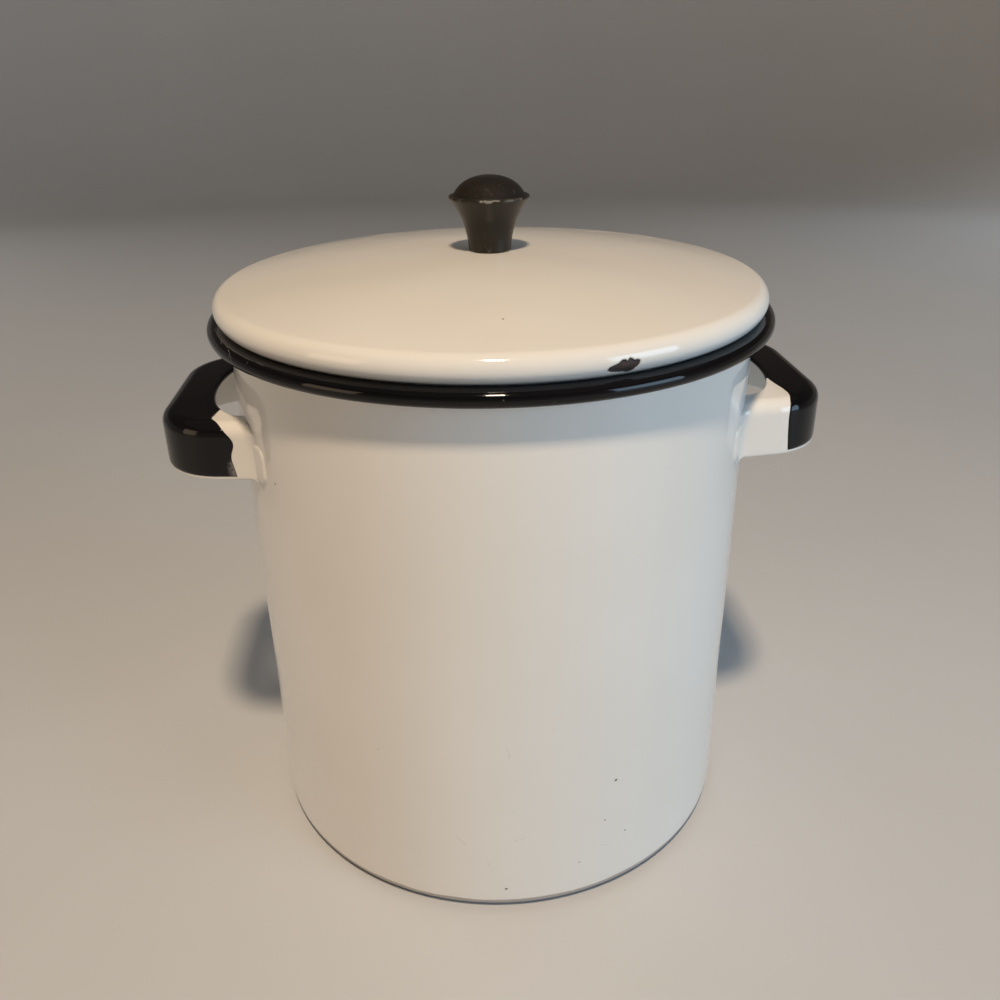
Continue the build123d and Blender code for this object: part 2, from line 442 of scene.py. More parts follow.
def blackEnamel(name, cracks=(), chips=(), thin=None, fringe=None):
    finish, tree, shader, place, colour, rough, height = startEnamel(name, black, Peel=340.0, Smear=46.0)
    if thin:
        colour = tint(tree, thin(tree, place), colour, black["thin"])
    if fringe:  # the coat is speckled with the white below it
        pale = cloud(tree, place, 800.0, 4.0, 0.75)
        sides = put(tree, "ShaderNodeSeparateXYZ", None, Vector=place).outputs
        for side, (sound, speckled) in zip(sides, fringe.values()):
            pale = times(tree, pale, between(tree, side, sound * mm, speckled * mm))
        colour = tint(tree, between(tree, pale, 0.12, 0.55), colour, black["fringe"])
    lines = drawnMarks(tree, place, cracks, chips)
    fine = useGroup(tree, rubs, place, Stretch=(700.0, 700.0, 700.0), Amount=0.25)["Mask"]
    bare = most(tree, lines, times(tree, fine, 0.12))
    colour = tint(tree, bare, colour, black["crack"])
    rough = timesPlus(tree, bare, 0.4, rough)
    feedAll(tree, shader, {"Base Color": colour, "Roughness": rough, "IOR": 1.35})
    addBump(tree, shader, minus(tree, height, bare), 0.06 * mm, 0.7)
    return finish


# pot shell: floor, wall and rolled rim of one drawn sheet

potMarks = dict(
    flecks=[  # angle, height, radius in mm
        (-92.8, 12.8, 0.8), (-67.5, 67.4, 0.9), (-69.9, 45.0, 0.5), (-64.3, 33.0, 0.55), (-144.2, 206.5, 0.6),
        (-91.0, 61.0, 0.35), (-120.5, 88.0, 0.4), (-76.0, 23.0, 0.45), (38.0, 52.0, 0.8), (97.0, 31.0, 0.7),
        (141.0, 118.0, 0.5), (72.0, 176.0, 0.45), (-18.0, 41.0, 0.6),
    ],
    scuffs=[  # angle and height of both ends, width in mm
        (-114.1, 32.6, -105.8, 24.4, 0.5), (-103.6, 45.5, -101.6, 41.0, 0.6), (-91.0, 43.0, -88.4, 44.6, 0.5),
        (-70.6, 29.6, -68.4, 27.9, 0.6), (-92.3, 99.5, -91.6, 92.5, 0.5), (-97.0, 32.0, -95.4, 20.5, 0.4),
        (66.0, 44.0, 74.0, 39.0, 0.5), (120.0, 27.0, 128.0, 31.0, 0.5), (168.0, 60.0, 171.0, 49.0, 0.6),
    ],
)


def wallWave(a, r, z):  # the sheet is a little out of round, and true at the rim and the floor
    if r < wallIn - pot["corner"]:
        return 0, 0
    hold = smooth(4 * mm, 50 * mm, z) * (1 - smooth(200 * mm, 256 * mm, z))
    lump = noise.noise(Vector((1.7 * cos(a), 1.7 * sin(a), 9 * z)))
    return pot["dent"] * hold * lump, 0


def buildPotShell():
    t, c = pot["sheet"], pot["corner"]
    tailEnd = wallOut + pot["tailGap"]
    rollIn = rollBare - t
    profile = joinRuns(
        lineRun((0, t), (wallOut - c, t), 24),
        arcRun((wallOut - c, c), c - t, -90, 0, 10),
        lineRun((wallIn, c), (wallIn, rollZ), 46),
        arcRun(turnCentre, rollBare, 180, 90, 8),
        arcRun(rollCentre, rollBare, 90, -90, 16),
        lineRun((rollR, rollZ - rollBare), (tailEnd, rollZ - rollBare), 3),
        lineRun((tailEnd, rollZ - rollIn), (rollR, rollZ - rollIn), 3),
        arcRun(rollCentre, rollIn, -90, 90, 10),
        arcRun(turnCentre, rollIn, 90, 180, 6),
        lineRun((wallOut, rollZ), (wallOut, c), 70),
        arcRun((wallOut - c, c), c, 0, -90, 14),
        lineRun((wallOut - c, 0), (0, 0), 24),
    )
    return lathe("pot_shell_drawn", profile, evenAngles(pot["around"]), wallWave)


def standingWear(tree, place):  # the ring that the pot stands on, and the floor inside
    low = between(tree, heightOf(tree, place), 9 * mm, 0.0)
    return times(tree, low, between(tree, fromAxis(tree, place), 96 * mm, 112 * mm))


def paintedBaseShade(tree, place):  # painted shade of the gap under the base, outside only, round the corner between the wall and the underside
    rise, out = heightOf(tree, place), fromAxis(tree, place)
    past = most(tree, minus(tree, out, wallOut - pot["corner"]), 0.0)
    under = calc(tree, "MINIMUM", minus(tree, rise, pot["corner"]), 0.0)
    bend = calc(tree, "SQRT", timesPlus(tree, past, past, times(tree, under, under)))
    outside = between(tree, bend, pot["corner"] - 0.8 * mm, pot["corner"] - 0.5 * mm)
    edge = timesPlus(tree, cloud(tree, place, 70.0), 1.6 * mm, rise)
    ring = times(tree, between(tree, edge, 6.9 * mm, 6.0 * mm), between(tree, out, 104 * mm, 113 * mm))
    return times(tree, times(tree, outside, ring), 0.85)


shell = buildPotShell()
shell.data.materials.append(whiteEnamel(
    "white enamel of the pot",
    flecks=dabsOn(onWall, potMarks["flecks"]),
    scuffs=strokesOn(onWall, potMarks["scuffs"]),
    worn=standingWear,
    baseShade=paintedBaseShade,
))
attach(shell, "pot")
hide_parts("pot_shell")
print("pot shell turned:", len(shell.data.polygons), "faces")


# rim enamel: the black coat over the roll, run a little unevenly along both edges

rim = dict(
    around=300,
    stray=0.5 * mm,  # how far the coat's edges wander
    sink=0.25 * mm,  # how far the coat reaches into the sheet
    deep=1.1 * mm,  # how far it runs down inside the mouth
    short=0.4 * mm,  # how far it stops before the end of the roll
    cracks=[  # angle and place on the roll of both ends, width in mm
        (-164.6, 96, -157.8, 93, 0.3), (-157.8, 93, -152.6, 86, 0.4), (-152.6, 86, -148.1, 82, 0.45),
        (-148.1, 82, -144.4, 77, 0.4), (-144.4, 77, -141.3, 74, 0.45), (-141.3, 74, -136.5, 71, 0.4),
        (-152.0, 86, -149.6, 62, 0.45), (-149.6, 62, -147.7, 35, 0.5), (-147.7, 35, -146.4, 2, 0.4),
        (-141.3, 53, -141.2, 24, 0.3), (-156.0, 91, -154.0, 70, 0.35),
    ],
    chips=[  # angle, place on the roll, radius in mm
        (-27.0, 12, 0.8), (-29.0, 2, 0.6), (-92.0, 12, 0.35), (-84.0, -18, 0.4), (58.0, 30, 0.6),
        (133.0, 5, 0.7),
    ],
)


def buildRimEnamel():
    coat, sink = pot["enamel"], rim["sink"]
    skinOut, skinIn = rollBare + coat, rollBare - sink
    tailEnd = wallOut + pot["tailGap"] + rim["short"]
    mouthEnd = rollZ - rim["deep"]
    profile = joinRuns(
        [(wallIn + sink, mouthEnd), (wallIn - 0.1 * mm, mouthEnd - 0.1 * mm)],
        [(wallIn - coat * 0.8, mouthEnd + 0.35 * mm)],
        arcRun(turnCentre, skinOut, 180, 90, 10),
        lineRun((turnCentre[0], rollZ + skinOut), (rollR, rollZ + skinOut), 3),
        arcRun(rollCentre, skinOut, 90, -90, 28),
        lineRun((rollR, rollZ - skinOut), (tailEnd + 0.5 * mm, rollZ - skinOut), 3),
        [(tailEnd, rollZ - skinOut + 0.12 * mm), (tailEnd, rollZ - skinIn)],
        arcRun(rollCentre, skinIn, -90, 90, 16),
        arcRun(turnCentre, skinIn, 90, 180, 8),
    )

    def coatWave(a, r, z):
        run = noise.noise(Vector((5 * cos(a), 5 * sin(a), 3.0)))
        run += 0.5 * noise.noise(Vector((15 * cos(a), 15 * sin(a), 7.0)))
        if z < rollZ - 0.2 * mm and r < wallIn + 0.3 * mm:
            return 0, rim["stray"] * run
        if z < rollZ - skinIn + 0.05 * mm and r < tailEnd + 0.6 * mm:
            return rim["stray"] * run, 0
        return 0, 0

    return lathe("rim_enamel_coat", profile, evenAngles(rim["around"]), coatWave)


def thinUnderRoll(tree, place):  # the coat thins to brown along the underside of the roll
    low = between(tree, heightOf(tree, place), rollZ - 2.5 * mm, rollZ - 3.3 * mm)
    return times(tree, low, between(tree, cloud(tree, place, 120.0), 0.35, 0.6))


rimCoat = buildRimEnamel()
rimCoat.data.materials.append(blackEnamel(
    "black enamel of the rim",
    cracks=strokesOn(onRim, rim["cracks"]),
    chips=dabsOn(onRim, rim["chips"]),
    thin=thinUnderRoll,
))
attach(rimCoat, "pot")
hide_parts("rim_enamel")
print("rim enamel laid")


# handles: one pressed strap each, with a coat of black over the grip

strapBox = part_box("right_handle")
strap = dict(
    sheet=1.6 * mm,
    fold=6.0 * mm,  # radius between the top flange and the skirt
    corner=30.0 * mm,  # corner radius in plan
    gripWidth=100.0 * mm,
    legWidth=110.0 * mm,
    slotReach=11.1 * mm,
    slotWidth=84.0 * mm,
    flare=4.6 * mm,  # how far the leg spreads where it meets the wall
    spur=3.0 * mm,  # how far the leg's lower corner is drawn down the wall
    spurRun=3.6 * mm,
    intoWall=0.4 * mm,  # how far the strap reaches into the wall
    coat=0.3 * mm,
    coatSink=0.2 * mm,  # how far the coat reaches into the strap
    bare=0.8 * mm,  # white left along the bottom edge of the grip
    columns=dict(leg=26, corner=16, grip=24),
)
dips = dict(  # where the black begins, in mm from the axis, from the slot's edge (0) to the bottom edge (1)
    right=dict(
        near=[(0, 129.6), (0.1, 131.2), (0.24, 133.2), (0.38, 131.8), (0.52, 131.0), (0.75, 131.4),
              (1, 132.4)],
        far=[(0, 129.8), (0.15, 132.0), (0.3, 132.9), (0.5, 131.7), (0.7, 132.6), (1, 131.6)],
    ),
    left=dict(
        near=[(0, 124.6), (0.12, 125.8), (0.26, 127.0), (0.34, 124.2), (0.44, 120.9), (0.52, 118.0),
              (0.6, 117.2), (0.75, 118.8), (0.88, 118.1), (1, 117.3)],
        far=[(0, 125.6), (0.3, 124.0), (0.45, 121.0), (0.6, 122.4), (0.8, 120.2), (1, 121.0)],
    ),
    leftFringe=dict(x=(-124.0, -117.5), y=(-47.0, -51.0), z=(215.0, 207.5)),  # from sound to speckled
)
legShare, cornerShare = 0.23, 0.385  # of the way from wall to wall, where the leg and the corner end
gripX = strapBox[1].x
foldTop = strapBox[1].z - strap["fold"]
footX = sqrt(wallOut**2 - (strap["legWidth"] / 2) ** 2)
slotX = sqrt(wallOut**2 - (strap["slotWidth"] / 2) ** 2)
edgeRound = strap["sheet"] / 2


def legLine():
    vertex = Vector((gripX, -strap["gripWidth"] / 2))
    along = (Vector((footX, -strap["legWidth"] / 2)) - vertex).normalized()
    half = acos(along.y) / 2
    tangent = strap["corner"] / tan(half)
    outward = Vector((-along.y, along.x))
    return vertex + along * tangent, along, outward, vertex.y + tangent


legEnd, legAlong, legOut, cornerY = legLine()


def outline(offset, t):  # plan of the strap, moved outwards; t runs from the near wall (0) to the far one (1)
    s = min(t, 1 - t)
    if s < legShare:
        start = legEnd + legOut * offset
        b = start.dot(legAlong)
        reach = -b - sqrt(b * b - start.length_squared + (wallOut - strap["intoWall"]) ** 2)
        p = start + legAlong * reach * (1 - s / legShare)
    elif s < cornerShare:
        a0 = atan2(legOut.y, legOut.x)
        a = a0 * (1 - (s - legShare) / (cornerShare - legShare))
        radius = strap["corner"] + offset
        p = Vector((gripX - strap["corner"] + radius * cos(a), cornerY + radius * sin(a)))
    else:
        p = Vector((gripX + offset, cornerY * (0.5 - s) / (0.5 - cornerShare)))
    return Vector((p.x, p.y if t < 0.5 else -p.y))


def arch(t):  # inner edge of the top flange
    a = (t - 0.5) * pi
    reach = wallOut + strap["slotReach"] - slotX
    return Vector((slotX + reach * cos(a), strap["slotWidth"] / 2 * sin(a)))


def rowsOf(*runs):
    return [(kind, place, z) for kind, run in runs for place, z in run]


def sectionRows(growth, steps, isWhole=True):  # outer faces, from the slot's edge down to the bottom edge
    top, fold, rounded = strapBox[1].z, strap["fold"], edgeRound + growth
    end = strapBox[0].z + edgeRound + (0 if isWhole else strap["bare"])
    edge = arcRun((-edgeRound, end), rounded, 0, -90, steps["edge"])
    return rowsOf(
        ("arch", arcRun((0, top - edgeRound), rounded, 0, 90, steps["edge"])[:-1]),
        ("flange", lineRun((0, top + growth), (1, top + growth), steps["flange"])[:-1]),
        ("skirt", arcRun((-fold, foldTop), fold + growth, 90, 0, steps["fold"])[:-1]),
        ("skirt", lineRun((growth, foldTop), (growth, end), steps["skirt"])[:-1]),
        ("skirt", edge if isWhole else edge[:1]),
    )


def innerRows(steps):  # inner faces, from the bottom edge up and back to the slot's edge
    top, fold, sheet = strapBox[1].z, strap["fold"], strap["sheet"]
    end = strapBox[0].z + edgeRound
    return rowsOf(
        ("skirt", arcRun((-edgeRound, end), edgeRound, -90, -180, steps["edge"])[1:]),
        ("skirt", lineRun((-sheet, end), (-sheet, foldTop), steps["skirt"])[1:]),
        ("skirt", arcRun((-fold, foldTop), fold - sheet, 0, 90, steps["fold"])[1:]),
        ("flange", lineRun((1, top - sheet), (0, top - sheet), steps["flange"])[1:]),
        ("arch", arcRun((0, top - edgeRound), edgeRound, -90, 0, steps["edge"])[1:-1]),
    )


def rowPoint(row, t):
    kind, place, z = row
    if kind == "skirt":
        p = outline(place, t)
        s = min(t, 1 - t) / legShare
        gap = s * (legEnd - Vector((footX, -strap["legWidth"] / 2))).length
        if place > -edgeRound and gap < strap["flare"]:  # the outer face spreads along the wall
            spread = strap["flare"] - sqrt(strap["flare"] ** 2 - (strap["flare"] - gap) ** 2)
            wallWay = Vector((p.y, -p.x)).normalized() * (1 if t < 0.5 else -1)
            p = p + wallWay * spread
        near = max(1 - gap / strap["spurRun"], 0) ** 2
        return Vector((p.x, p.y, z - strap["spur"] * near * (1 - smooth(strapBox[0].z, foldTop, z))))
    edge, fold = arch(t), outline(-strap["fold"], t)
    inward = (edge - fold).normalized()
    base = edge - inward * edgeRound
    p = base + inward * place if kind == "arch" else base.lerp(fold, place)
    if p.length < wallOut:
        p = p.normalized() * (wallOut - strap["intoWall"])
    return Vector((p.x, p.y, z))


def stripPlaces(counts):
    places = [legShare * (i / counts["leg"]) ** 1.25 for i in range(counts["leg"])]
    for low, high, count in ((legShare, cornerShare, counts["corner"]), (cornerShare, 0.5, counts["grip"])):
        places += [low + (high - low) * i / count for i in range(count)]
    return places + [0.5] + [1 - p for p in reversed(places)]


def closedGrids(name, side, *grids):  # each grid is closed round its rows and capped at both ends
    verts, faces = [], []
    for grid in grids:
        first, columns = len(verts), len(grid[0])
        verts += [(p.x * side, p.y, p.z) for row in grid for p in row]
        starts = [first + i * columns for i in range(len(grid))]
        for low, high in zip(starts, starts[1:] + starts[:1]):
            faces += [(low + j, low + j + 1, high + j + 1, high + j) for j in range(columns - 1)]
        faces += [starts, [start + columns - 1 for start in starts]]
    return meshPiece(name, verts, faces)


def placeAt(row, reach, isNear):  # where along a row its distance from the axis first passes reach
    share = narrow(0.0, 0.5, lambda t: rowPoint(row, t if isNear else 1 - t).x < reach, 30)
    return share if isNear else 1 - share


def buildGripCoat(name, side, dip):  # ends above the bare bottom edge of the sheet
    steps = dict(edge=3, flange=12, fold=10, skirt=24)
    bare, full = sectionRows(0, steps, False), sectionRows(strap["coat"], steps, False)
    under = sectionRows(-strap["coatSink"], steps, False)
    # share of the run, and of the full thickness there
    ends = [(0, 0.08), (0.0016, 0.4), (0.004, 0.72), (0.008, 0.92), (0.014, 1.0)]
    run = ends + [(0.02 + 0.96 * j / 110, 1.0) for j in range(111)] + [(1 - f, k) for f, k in reversed(ends)]
    outer, inner = [], []
    for i in range(len(bare)):
        share = i / (len(bare) - 1)
        lift = 1 if i < len(bare) - 2 else (0.75, 0.2)[i - len(bare) + 2]
        start = placeAt(bare[i], curveThrough(dip["near"], share) * mm, True)
        end = placeAt(bare[i], curveThrough(dip["far"], share) * mm, False)
        places = [(start + (end - start) * f, k) for f, k in run]
        outer.append([rowPoint(bare[i], t).lerp(rowPoint(full[i], t), k * lift) for t, k in places])
        inner.append([rowPoint(under[i], t) for t, k in places])
    return closedGrids(name, side, outer + inner[::-1])


foot = dict(
    reach=11.0 * mm,  # along the wall from the leg
    height=18.5 * mm,
    corner=5.5 * mm,
    rise=0.9 * mm,
    soft=1.6 * mm,  # width of its rounded edge
    tuck=2.5 * mm,  # how far it starts under the leg
    past=1.0 * mm,  # how far its buried border runs on
    sunk=0.5 * mm,  # how deep that border lies in the wall
    under=0.7 * mm,  # how deep its back lies
)


def footPad(way):  # a low welded pad on the wall beside the near leg (-1) or the far one (1)
    wallAngle = atan2(strap["legWidth"] / 2, footX)
    steps = 30
    reach, height, corner = foot["reach"], foot["height"], foot["corner"]
    tuck, past, sunk = foot["tuck"], foot["past"], foot["sunk"]
    low = strapBox[0].z
    outer, inner = [], []
    for i in range(steps + 1):
        along = -tuck + (tuck + reach + past) * i / steps
        a = (wallAngle + along / wallOut) * way
        dx = max(along - (reach - corner), 0)
        outer.append([])
        inner.append([])
        for j in range(steps + 1):
            z = low - past + (height + 2 * past) * j / steps
            dz = max(abs(z - low - height / 2) - (height / 2 - corner), 0)
            shape = smooth(-0.4 * mm, foot["soft"], corner - hypot(dx, dz))
            rise = -sunk + (foot["rise"] + sunk) * shape
            for r, line in ((wallOut + rise, outer[-1]), (wallOut - foot["under"], inner[-1])):
                line.append(Vector((r * cos(a), r * sin(a), z)))
    return outer + inner[::-1]


def buildStrap(name, side):
    steps = dict(edge=4, flange=12, fold=8, skirt=18)
    places = stripPlaces(strap["columns"])
    rows = sectionRows(0, steps) + innerRows(steps)
    pressed = [[rowPoint(row, t) for t in places] for row in rows]
    return closedGrids(name, side, pressed, footPad(-1), footPad(1))


strapWhite = whiteEnamel("white enamel of the handles")
gripBlack = dict(
    right=blackEnamel("black enamel of the right grip"),
    left=blackEnamel("black enamel of the left grip", fringe=dips["leftFringe"]),
)
for label, side in (("right", 1), ("left", -1)):
    handle = buildStrap(label + "_handle_pressed", side)
    handle.data.materials.append(strapWhite)
    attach(handle, "pot")
    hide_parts(label + "_handle")
    coat = buildGripCoat(label + "_grip_coat", side, dips[label])
    coat.data.materials.append(gripBlack[label])
    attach(coat, "pot")
    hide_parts(label + "_grip_enamel")
    print(label, "handle pressed")


# lid shell: a shallow dome with a full rolled edge and a chip out of its enamel

lidLow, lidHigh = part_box("lid_shell")
lid = dict(
    sheet=1.2 * mm,
    roll=6.2 * mm,
    rollPast=5.0,  # degrees past the lowest point
    seat=11.5 * mm,  # radius of the flat spot under the knob
    seatEdge=1.2 * mm,  # slope between the flat spot and the dome
    hole=2.4 * mm,
    dent=0.12 * mm,
)
chip = dict(
    angle=-71.5,  # of its middle, round the lid
    roll=-14.0,  # of its middle, on the rolled edge
    depth=0.5 * mm,
    away=-9.0,  # stands for any place well outside it
    outline=[  # in mm, round the lid and up over its edge
        (-6.8, -0.9), (-6.2, 0.2), (-4.4, 0.9), (-2.6, 1.5), (-1.2, 2.6), (0.2, 2.7), (1.0, 2.0),
        (2.0, 3.1), (3.0, 2.7), (4.0, 1.9), (5.4, 2.1), (6.5, 1.4), (6.3, 0.0), (5.2, -1.4),
        (4.0, -2.9), (1.9, -3.9), (0.4, -3.1), (-1.8, -2.8), (-4.2, -2.3), (-6.0, -1.9),
    ],
    bare=rgb(0.040, 0.028, 0.027),
    rust=rgb(0.062, 0.036, 0.027),
    shade=rgb(0.010, 0.0085, 0.008),
    broken=rgb(0.62, 0.60, 0.57),  # the enamel's edge round it
)
lidRollR, lidRollZ = lidRollCentre = (lidHigh.x - lid["roll"], lidLow.z + lid["roll"])


def domeCentre(radius):  # height of the middle of a dome that leaves the rolled edge smoothly
    return lidRollZ - sqrt((radius - lid["roll"]) ** 2 - lidRollR**2)


def isTooRound(radius):  # carries the seat too high
    half = lid["sheet"] / 2
    return domeCentre(radius) + sqrt((radius - half) ** 2 - lid["seat"] ** 2) + half > lidHigh.z


domeRadius = narrow(0.3, 1.5, isTooRound)
domeZ = domeCentre(domeRadius)


def domeAt(r, depth=0.0):
    return domeZ + sqrt((domeRadius - depth) ** 2 - r * r)


def domeRun(start, end, steps, depth=0.0):
    return [(r, domeAt(r, depth)) for r, _ in lineRun((start, 0), (end, 0), steps)]


def insideOutline(x, y, points):  # distance in mm from an outline, positive inside it
    best, isInside = 1e9, False
    for (x0, y0), (x1, y1) in zip(points, points[1:] + points[:1]):
        dx, dy = x1 - x0, y1 - y0
        h = min(max(((x - x0) * dx + (y - y0) * dy) / (dx * dx + dy * dy), 0), 1)
        best = min(best, hypot(x - x0 - h * dx, y - y0 - h * dy))
        if (y0 > y) != (y1 > y) and x < x0 + (y - y0) / dy * dx:
            isInside = not isInside
    return best if isInside else -best


def fromRoll(r, z):  # offset from the middle of the rolled edge, and its length
    dr, dz = r - lidRollR, z - lidRollZ
    return dr, dz, hypot(dr, dz)


def chipAt(a, r, z):  # how far inside the chip a point of the rolled edge lies, in mm
    dr, dz, size = fromRoll(r, z)
    turn = (degrees(a) - chip["angle"] + 180) % 360 - 180
    if size < lid["roll"] - 0.3 * mm or dr < 0 or abs(turn) > 6:
        return chip["away"]
    x = radians(turn) * lidHigh.x / mm
    y = (atan2(dz, dr) - radians(chip["roll"])) * lid["roll"] / mm
    return insideOutline(x, y, chip["outline"])


def lidWave(a, r, z):
    lump = noise.noise(Vector((32.5 * r * cos(a), 32.5 * r * sin(a), 2.0)))
    hold = smooth(20 * mm, 50 * mm, r) * (1 - smooth(100 * mm, 119 * mm, r))
    pit = smooth(-0.1, 0.55, chipAt(a, r, z)) * chip["depth"]
    dr, dz, size = fromRoll(r, z)
    return -pit * dr / size, lid["dent"] * hold * lump - pit * dz / size


def lidAngles():  # close together along the chip
    half, fine = 4.2, 0.16  # degrees
    angles = [a - pi for a in evenAngles(300) if abs(degrees(a - pi) - chip["angle"]) > half]
    angles += [radians(chip["angle"] - half + fine * i) for i in range(int(2 * half / fine) + 1)]
    return sorted(angles)


def buildLidShell():
    t, roll = lid["sheet"], lid["roll"]
    slope = degrees(asin(lidRollR / (domeRadius - roll)))
    topEnd = domeRadius * lidRollR / (domeRadius - roll)
    lowEnd = (domeRadius - t) * lidRollR / (domeRadius - roll)
    seatTop, seatLow = lidHigh.z, lidHigh.z - t
    profile = joinRuns(
        lineRun((lid["hole"], seatLow), (lid["hole"], seatTop), 2),
        lineRun((lid["hole"], seatTop), (lid["seat"], seatTop), 5),
        domeRun(lid["seat"] + lid["seatEdge"], topEnd, 40),
        arcRun(lidRollCentre, roll, 90 - slope, -90 - lid["rollPast"], 84),
        arcRun(lidRollCentre, roll - t, -90 - lid["rollPast"], 90 - slope, 24),
        domeRun(lowEnd, lid["seat"], 40, t)[:-1],
        lineRun((lid["seat"], seatLow), (lid["hole"], seatLow), 5),
    )
    piece = lathe("lid_shell_drawn", profile, lidAngles(), lidWave)
    depth = piece.data.attributes.new("chipDepth", "FLOAT", "POINT")
    for vertex, value in zip(piece.data.vertices, depth.data):
        x, y, z = vertex.co
        dr, dz, size = fromRoll(hypot(x, y), z)
        lift = lid["roll"] / max(size, 1e-6)  # back onto the unbroken edge
        isEdge = lid["roll"] - 0.8 * mm < size < lid["roll"] + 0.3 * mm
        r, z = lidRollR + dr * lift, lidRollZ + dz * lift
        value.value = chipAt(atan2(y, x), r, z) if isEdge else chip["away"]
    return piece


def bareChip(tree, place, colour, rough, height):  # dark iron in the chip with painted shade along the inside of its edge, a grey broken edge round it
    depth = put(tree, "ShaderNodeAttribute", {"attribute_name": "chipDepth"}).outputs["Fac"]
    ragged = cloud(tree, place, 1500.0, 3.0)
    depth = timesPlus(tree, minus(tree, ragged, 0.5), 0.5, depth)
    spots = cloud(tree, place, 700.0, 4.0, 0.65)
    iron = tint(tree, between(tree, spots, 0.42, 0.66), chip["bare"], chip["rust"])
    # painted shade inside the chip, strongest next to its broken edge
    iron = tint(tree, between(tree, depth, 0.75, 0.15), iron, chip["shade"])
    colour = tint(tree, between(tree, depth, -0.75, -0.1), colour, chip["broken"])
    inChip = between(tree, depth, 0.0, 0.16)
    colour = tint(tree, inChip, colour, iron)
    rough = timesPlus(tree, inChip, minus(tree, 0.62, rough), rough)
    pitted = times(tree, times(tree, spots, inChip), 3.0)
    return colour, rough, calc(tree, "ADD", height, pitted)


def onDome(angleDeg, r):  # radius in mm
    return polar(angleDeg, r * mm, domeAt(r * mm))


lidFlecks = [(-91.0, 95.1, 0.55), (37.0, 71.0, 0.5), (118.0, 96.0, 0.5)]  # angle, radius, size in mm
lidShell = buildLidShell()
lidShell.data.materials.append(whiteEnamel(
    "white enamel of the lid",
    flecks=dabsOn(onDome, lidFlecks),
    chipped=bareChip,
))
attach(lidShell, "lid")
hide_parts("lid_shell")
print("lid turned:", len(lidShell.data.polygons), "faces")


# lid ring: the strip under the dome that keeps the lid in the mouth

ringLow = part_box("lid_ring")[0]
ring = dict(sheet=1.0 * mm, bend=2.5 * mm, flange=7.0 * mm, gap=2.0 * mm)


def buildLidRing():
    t = ring["sheet"]
    bendStart = wallIn - ring["gap"] - ring["bend"]
    flangeStart = wallIn - ring["gap"] - ring["flange"]
    turned = degrees(asin(bendStart / (domeRadius - lid["sheet"] - t / 2)))
    a = radians(90 - turned)
    bendMiddle = ring["bend"] - t / 2
    bendHeight = domeAt(bendStart, lid["sheet"] + t / 2)
    bendCentre = (bendStart - bendMiddle * cos(a), bendHeight - bendMiddle * sin(a))
    outR, inR = bendCentre[0] + ring["bend"], bendCentre[0] + ring["bend"] - t
    profile = joinRuns(
        domeRun(flangeStart, bendStart, 8, lid["sheet"])[:-1],
        arcRun(bendCentre, ring["bend"], 90 - turned, 0, 8),
        lineRun((outR, bendCentre[1]), (outR, ringLow.z + t / 2), 12),
        arcRun((outR - t / 2, ringLow.z + t / 2), t / 2, 0, -180, 6),
        lineRun((inR, ringLow.z + t / 2), (inR, bendCentre[1]), 12),
        arcRun(bendCentre, ring["bend"] - t, 0, 90 - turned, 6),
        domeRun(bendStart, flangeStart, 8, lid["sheet"] + t)[1:],
    )
    return lathe("lid_ring_rolled", profile, evenAngles(240))


def slideWear(tree, place):  # the edge that rubs along the mouth
    return between(tree, heightOf(tree, place), ringLow.z + 6 * mm, ringLow.z)


lidRing = buildLidRing()
lidRing.data.materials.append(whiteEnamel("white enamel of the lid ring", worn=slideWear))
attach(lidRing, "lid")
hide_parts("lid_ring")
print("lid ring rolled")


# knob: turned wood under dark satin paint, worn on the lip and the cap

knobLow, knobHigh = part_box("knob")
knob = dict(
    flare=[  # radius at each height above the lid, in mm
        (0.0, 9.6), (0.9, 9.75), (3.0, 9.95), (6.5, 10.45), (10.5, 11.45), (14.0, 12.6), (18.5, 14.9),
        (21.5, 16.9), (23.4, 18.3),
    ],
    lipHeight=23.9 * mm,
    cap=16.4 * mm,
    paint=rgb(0.0140, 0.0124, 0.0084),
    paintWarm=rgb(0.0165, 0.0130, 0.0088),
    capPaint=rgb(0.0062, 0.0042, 0.0026),
    wood=rgb(0.085, 0.050, 0.028),
    worn=rgb(0.30, 0.285, 0.25),
    lipMarks=[  # angle, radius and height of both ends, width in mm
        (-104, 18.1, 24.1, -92, 18.1, 23.8, 1.9), (-95, 18.1, 23.9, -80, 18.1, 24.2, 1.5),
        (-80, 18.0, 24.4, -62, 18.0, 24.4, 0.4),
    ],
    scratches=[
        (-124, 9.7, 1.0, -106, 9.9, 4.4, 0.4), (-110, 9.9, 4.0, -95, 9.7, 0.8, 0.4),
        (-93, 9.7, 1.0, -90, 9.9, 3.2, 0.3), (40, 9.8, 2.0, 52, 10.6, 6.0, 0.35),
    ],
)


